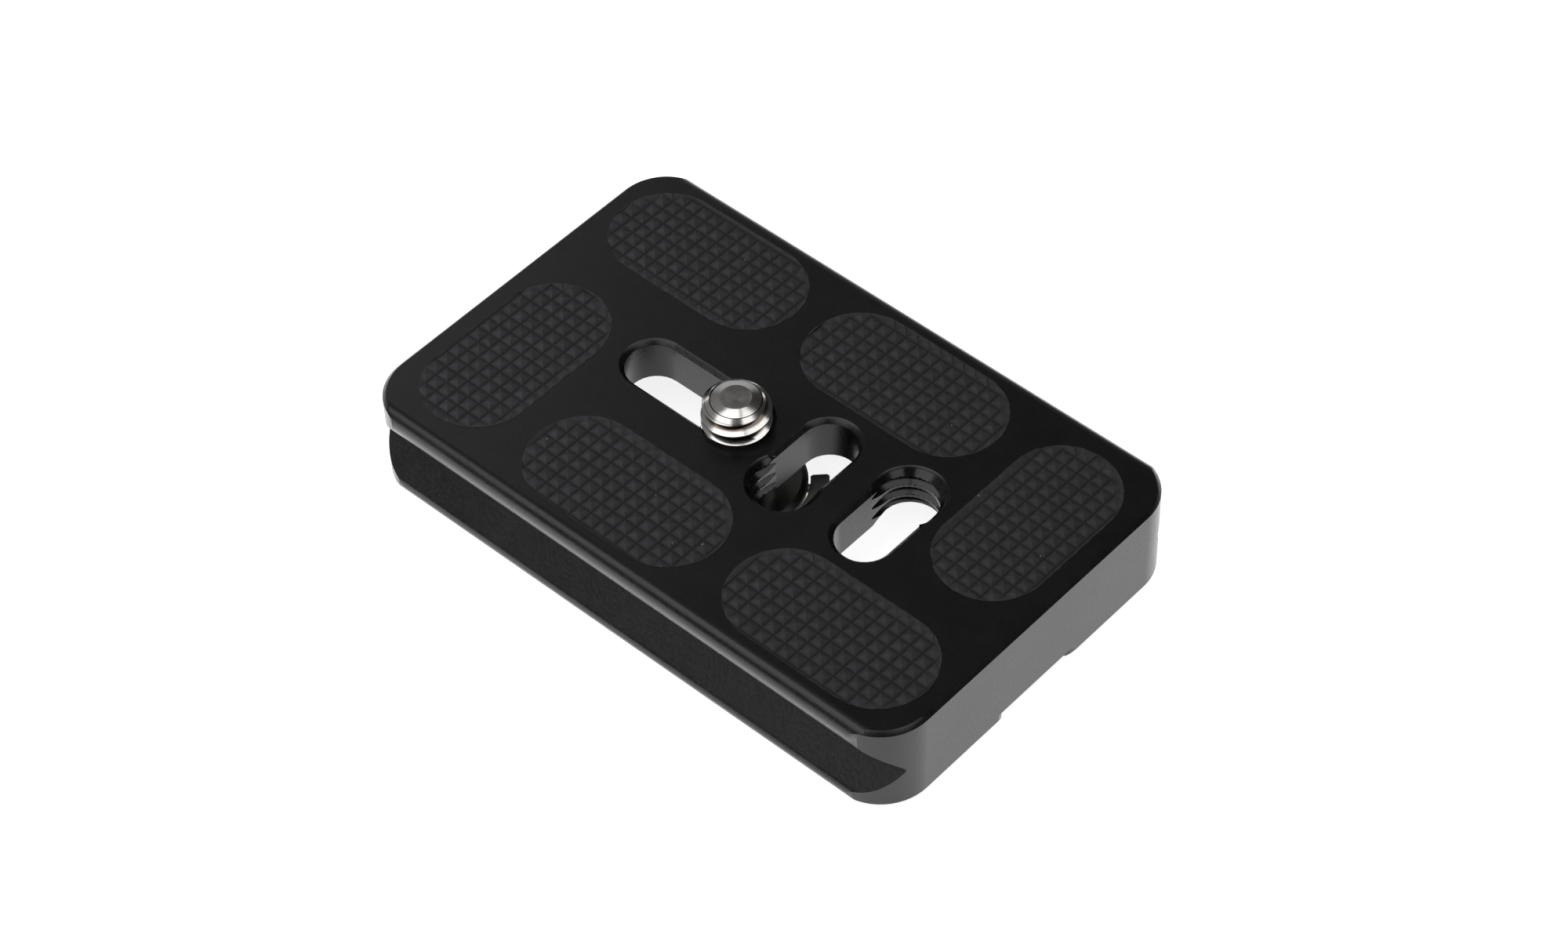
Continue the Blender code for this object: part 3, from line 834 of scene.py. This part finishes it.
def add_screw():
    """The screw's CAD solid is replaced by a turned one with a real thread. Returns its middle."""
    low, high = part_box("camera_screw")
    axis = (low + high) / 2
    bottom = high.z - THREADED_LENGTH
    radius = (high.x - low.x) / 2
    head = turned("head", axis, head_profile(low.z, radius, bottom))
    bar = (5 * radius, COIN_SLOT_WIDTH, 2 * COIN_SLOT_DEPTH)
    bar_turn = RING_PIVOT_TURN + math.pi / 2
    cut(head, block("coin_slot", (axis.x, axis.y, low.z), bar, bar_turn))
    for turn in (RING_PIVOT_TURN, RING_PIVOT_TURN + math.pi):
        x, y = axis.x + radius * math.cos(turn), axis.y + radius * math.sin(turn)
        cut(head, stud_seat((x, y, STUD_LEVEL), turn))
    screw = helix(axis, bottom, high.z)
    cut(screw, turned("tip", axis, tip_profile(bottom, high.z)), "INTERSECT")
    bm = bmesh.new()
    bm.from_mesh(screw.data)
    bm.from_mesh(head.data)
    bpy.data.objects.remove(head, do_unlink=True)
    bpy.data.objects.remove(screw, do_unlink=True)
    screw = mesh_object("camera_screw_turned", bm, SHARP_TURNED_EDGE)
    # Heights between which the thread's grooves get painted shade
    groove = (PLATE_HEIGHT - 0.5 * MM, high.z - 0.62 * MM)
    seam = (TIP_CONE_RADIUS + TIP_STEP_OUT, 1.1 * TIP_STEP_OUT, high.z - 2 * TIP_CONE_DROP)
    steel = steel_material("bright_steel", BRIGHT_STEEL, BRIGHT_ROUGHNESS, axis, groove, seam)
    screw.data.materials.append(steel)
    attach(screw, "screw")
    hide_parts("camera_screw")
    return axis


def hole_radius(height, depth_turn, from_back):
    """A threaded hole's inner radius. from_back is the angle from the side away from the slot."""
    turns = (height - PLATE_HEIGHT + FIRST_CREST_EDGE) / THREAD_PITCH - depth_turn
    turns -= HOLE_CREST_WIDTH / THREAD_PITCH / 2 - 0.5
    ridge = thread_height(turns, HOLE_CREST_WIDTH, HOLE_ROOT_WIDTH)
    radius = HOLE_ROOT - (HOLE_ROOT - HOLE_CREST) * ridge
    cone = HOLE_ROOT - (PLATE_HEIGHT - HOLE_CONE_TOP - height)
    lower_cone = HOLE_ROOT - (height - WEB_UNDERSIDE) - HOLE_LOWER_CONE_DROP
    radius = max(radius, cone, lower_cone)
    past = abs(from_back) - math.pi / 2
    if past > 0:
        chamfer = max(0.0, height - PLATE_HEIGHT + SLOT_CHAMFER)
        radius = max(radius, (SLOT_HALF_WIDTH + chamfer) / math.cos(past))
    return min(radius, HOLE_ROOT + HOLE_WALL_OVERLAP)


def add_hole_threads(finish):
    """Each entry hole's thread, as a lining of the CAD bore that the slot cuts open."""
    open_angle = math.acos(SLOT_HALF_WIDTH / HOLE_ROOT)
    reach = math.pi / 2 + open_angle
    far_side = math.atan2(math.cos(CAMERA_AZIMUTH), -math.sin(CAMERA_AZIMUTH))
    outer = HOLE_ROOT + LINING_BACKING
    low = WEB_UNDERSIDE + HOLE_WALL_OVERLAP
    top = PLATE_HEIGHT - HOLE_CONE_TOP + HOLE_WALL_OVERLAP
    angles = np.linspace(-reach, reach, LINING_COLUMNS)
    heights = np.linspace(low, top, LINING_ROWS)
    for name, (centre, slot_way) in ENTRY_HOLES.items():
        back = math.atan2(-slot_way[1], -slot_way[0])
        bm = bmesh.new()
        rings = []
        for height in heights:
            inner, wall = [], []
            for angle in angles:
                turn = back + angle
                spiral = (turn - far_side + math.pi) % (2 * math.pi) - math.pi
                r = hole_radius(height, spiral / (2 * math.pi), angle)
                x = centre[0] + r * math.cos(turn)
                y = centre[1] + r * math.sin(turn)
                inner.append(bm.verts.new((x, y, height)))
            for angle in angles[::-1]:
                turn = back + angle
                x = centre[0] + outer * math.cos(turn)
                y = centre[1] + outer * math.sin(turn)
                wall.append(bm.verts.new((x, y, height)))
            rings.append(inner + wall)
        bridge_rings(bm, rings)
        for ring in (rings[0], rings[-1]):
            for i in range(LINING_COLUMNS - 1):
                bm.faces.new((ring[i], ring[i + 1], ring[-2 - i], ring[-1 - i]))
        lining = mesh_object(name, bm, SHARP_THREAD_EDGE)
        lining.data.materials.append(finish)
        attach(lining, "plate")


def add_plate(finish):
    """The CAD plate's own shape, with round walls shaded smooth and every edge broken by a hair."""
    bm = bmesh.new()
    bm.from_mesh(frame["nodes"]["plate_body"].data)
    bmesh.ops.remove_doubles(bm, verts=bm.verts, dist=MERGE_DISTANCE)
    bmesh.ops.dissolve_limit(
        bm,
        angle_limit=ONE_FACE_ANGLE,
        use_dissolve_boundaries=False,
        verts=bm.verts,
        edges=bm.edges,
    )
    edges = [e for e in bm.edges if e.is_manifold and e.calc_face_angle() > BROKEN_EDGE_ANGLE]
    bmesh.ops.bevel(
        bm,
        geom=edges,
        offset=EDGE_BREAK,
        segments=EDGE_BREAK_STEPS,
        profile=0.5,
        affect="EDGES",
        clamp_overlap=True,
    )
    plate = mesh_object("plate_body_finished", bm, SHARP_PLATE_EDGE)
    weighted = plate.modifiers.new("even_faces", "WEIGHTED_NORMAL")
    weighted.keep_sharp = True
    plate.data.materials.append(finish)
    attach(plate, "plate")
    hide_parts("plate_body")


def dress_node(node, finish):
    """Gives a CAD node its finish in every material slot that it has."""
    if not node.data.materials:
        node.data.materials.append(finish)
    for slot in node.material_slots:
        slot.material = finish


def main():
    """Builds the studio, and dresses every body."""
    bpy.context.scene.view_settings.view_transform = "Standard"
    add_camera()
    add_lights()
    add_floor()
    add_plate(anodised_material("anodised_aluminium", BLASTED_ROUGHNESS, BLASTED_GRAIN_DEPTH))
    cut_finish = anodised_material("cut_anodised_aluminium", CUT_ROUGHNESS, CUT_GRAIN_DEPTH)
    add_hole_threads(cut_finish)
    add_pads()
    axis = add_screw()
    ring_steel = steel_material("satin_steel", SATIN_STEEL, SATIN_ROUGHNESS, axis)
    dress_node(frame["nodes"]["d_ring"], ring_steel)


main()
